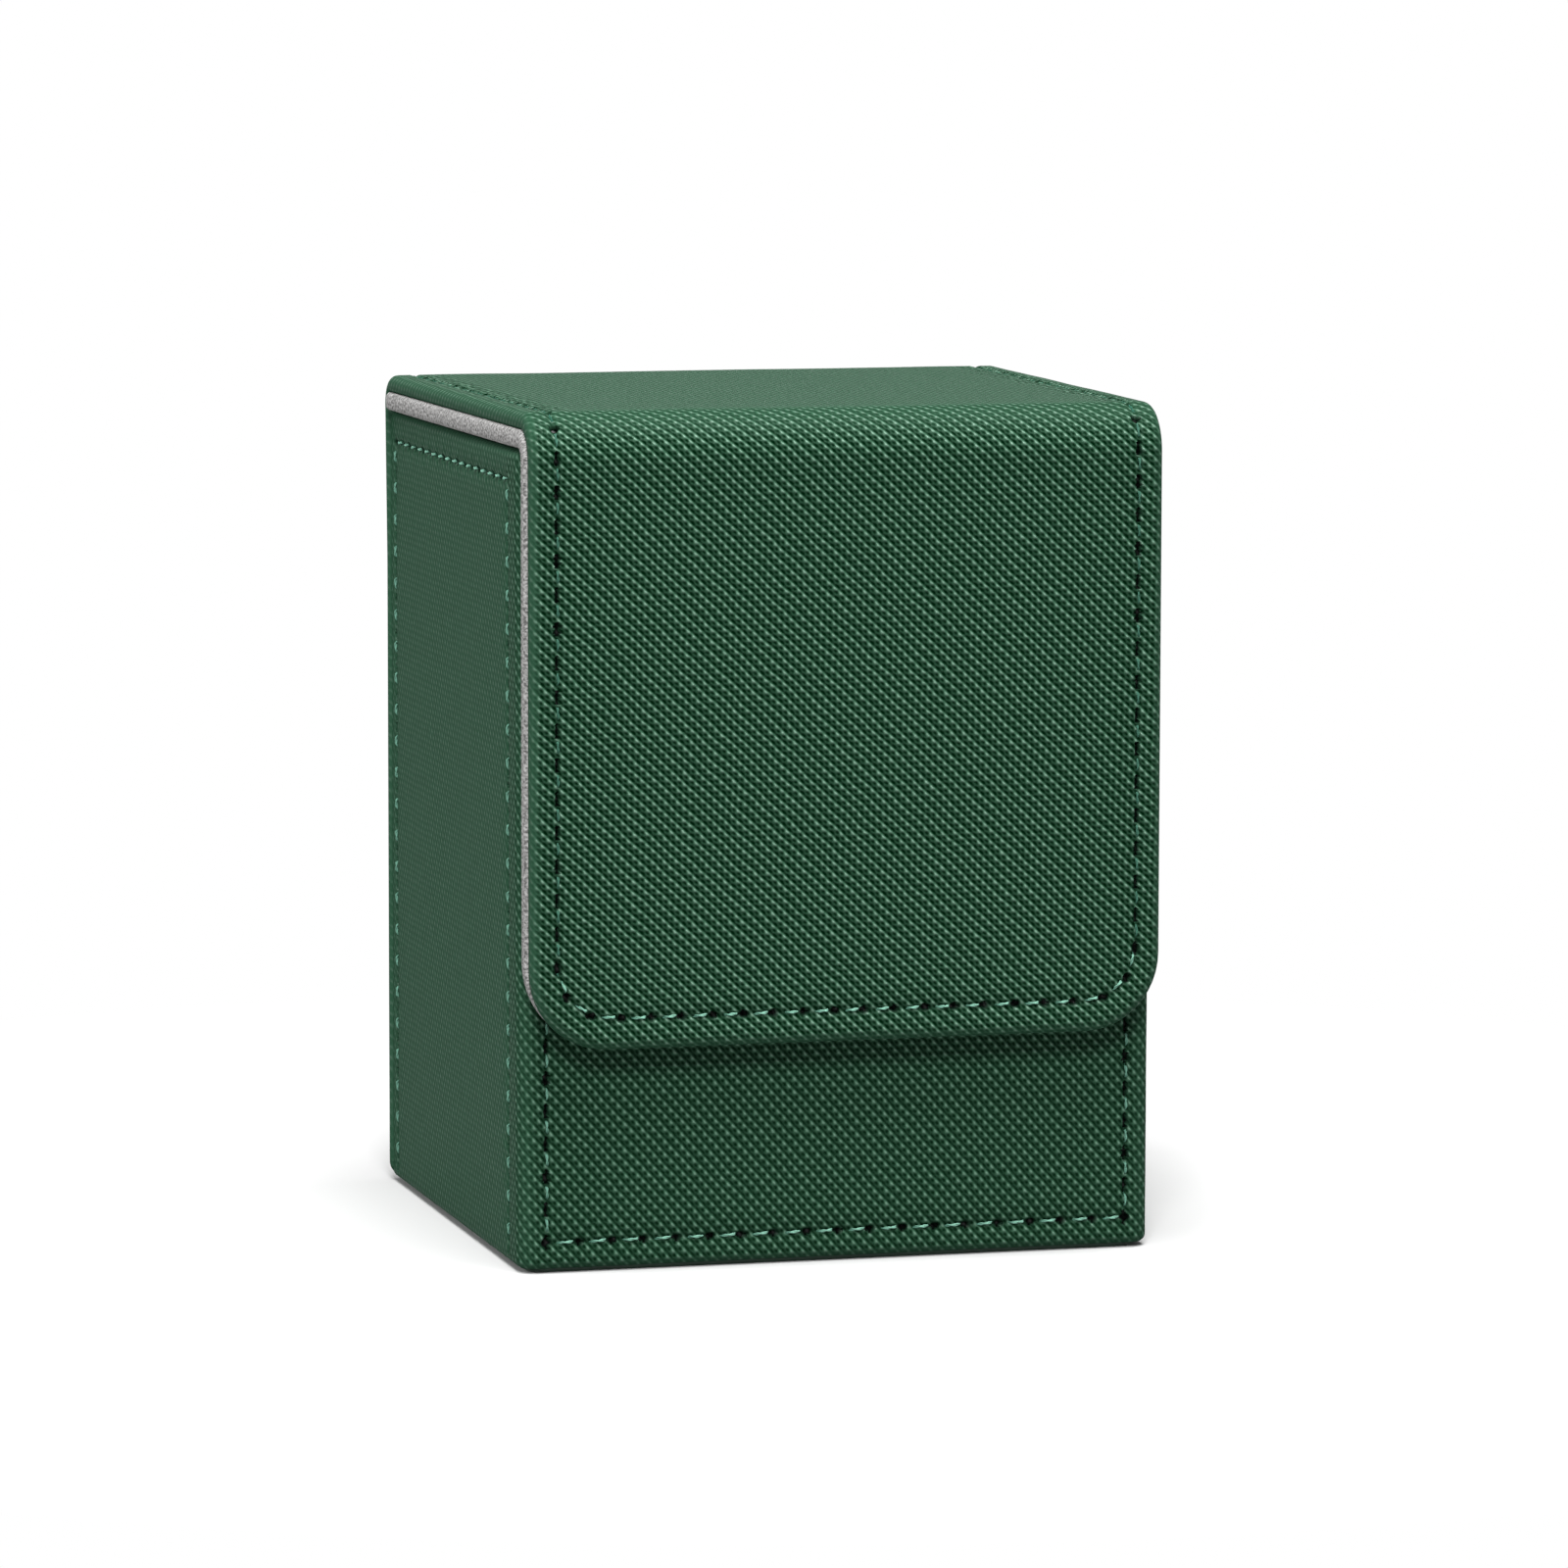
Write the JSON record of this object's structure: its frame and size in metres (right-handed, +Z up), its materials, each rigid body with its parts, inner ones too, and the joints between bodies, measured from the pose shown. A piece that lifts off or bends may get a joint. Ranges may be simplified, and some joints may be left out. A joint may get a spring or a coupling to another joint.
{
  "type": "card deck box",
  "caption": "Upright box for a deck of cards, covered in green textured faux leather, with a soft grey lining and a hinged lid whose front flap folds down and holds by magnets.",
  "frame": {"origin": "on the table, under the middle of the tray's base", "axes": "+X to the right seen from the front, -Y to the front where the flap hangs, +Z up"},
  "size_m": [0.0804, 0.0785, 0.105],
  "materials": {
    "green_cover": "embossed faux leather, satin, dark green",
    "grey_lining": "brushed microfibre, matt, light warm grey",
    "grey_board": "plain grey board",
    "magnet": "nickel-plated disc",
    "green_thread": "polyester sewing thread, green",
    "base_sheet": "thin embossed sheet, dark green"
  },
  "bodies": {
    "tray": {"base_sheet": "base_sheet", "tray_cover": "green_cover", "tray_front_board": "grey_board", "tray_left_board": "grey_board", "tray_right_board": "grey_board", "tray_back_board": "grey_board", "tray_bottom_board": "grey_board", "tray_front_lining": "grey_lining", "tray_left_lining": "grey_lining", "tray_right_lining": "grey_lining", "tray_back_lining": "grey_lining", "tray_bottom_lining": "grey_lining", "back_cover": "green_cover", "back_card": "grey_board", "tray_magnets": "magnet", "tray_front_stitching": "green_thread", "tray_left_stitching": "green_thread", "tray_right_stitching": "green_thread", "back_stitching": "green_thread"},
    "rear_fold": {"rear_fold_cover": "green_cover", "rear_fold_lining": "grey_lining"},
    "lid_top": {"top_cover": "green_cover", "top_board": "grey_board", "top_lining": "grey_lining", "top_stitching": "green_thread"},
    "front_fold": {"front_fold_cover": "green_cover", "front_fold_board": "grey_board", "front_fold_lining": "grey_lining"},
    "flap": {"flap_cover": "green_cover", "flap_board": "grey_board", "flap_lining": "grey_lining", "flap_magnets": "magnet", "flap_stitching": "green_thread"}
  },
  "joints": [
    {"name": "lid_hinge", "type": "hinge", "parent": "tray", "child": "rear_fold", "pos_m": [0, 0.03724, 0.10232], "axis": [-1, 0, 0], "range_deg": [0, 111], "deforming": ["rear_fold_cover", "rear_fold_lining"]},
    {"name": "lid_hinge_upper", "type": "hinge", "parent": "rear_fold", "child": "lid_top", "pos_m": [0, 0.03502, 0.10454], "axis": [-1, 0, 0], "range_deg": [0, 111], "deforming": ["rear_fold_cover", "rear_fold_lining"]},
    {"name": "flap_hinge", "type": "hinge", "parent": "lid_top", "child": "front_fold", "pos_m": [0, -0.03705, 0.10445], "axis": [-1, 0, 0], "range_deg": [0, 45], "deforming": ["front_fold_cover", "front_fold_board", "front_fold_lining"]},
    {"name": "flap_hinge_lower", "type": "hinge", "parent": "front_fold", "child": "flap", "pos_m": [0, -0.0403, 0.1012], "axis": [-1, 0, 0], "range_deg": [0, 45], "deforming": ["front_fold_cover", "front_fold_board", "front_fold_lining"]}
  ],
  "couplings": [
    {"joint": "lid_hinge_upper", "follows": "lid_hinge", "ratio": 1},
    {"joint": "flap_hinge_lower", "follows": "flap_hinge", "ratio": 1}
  ]
}
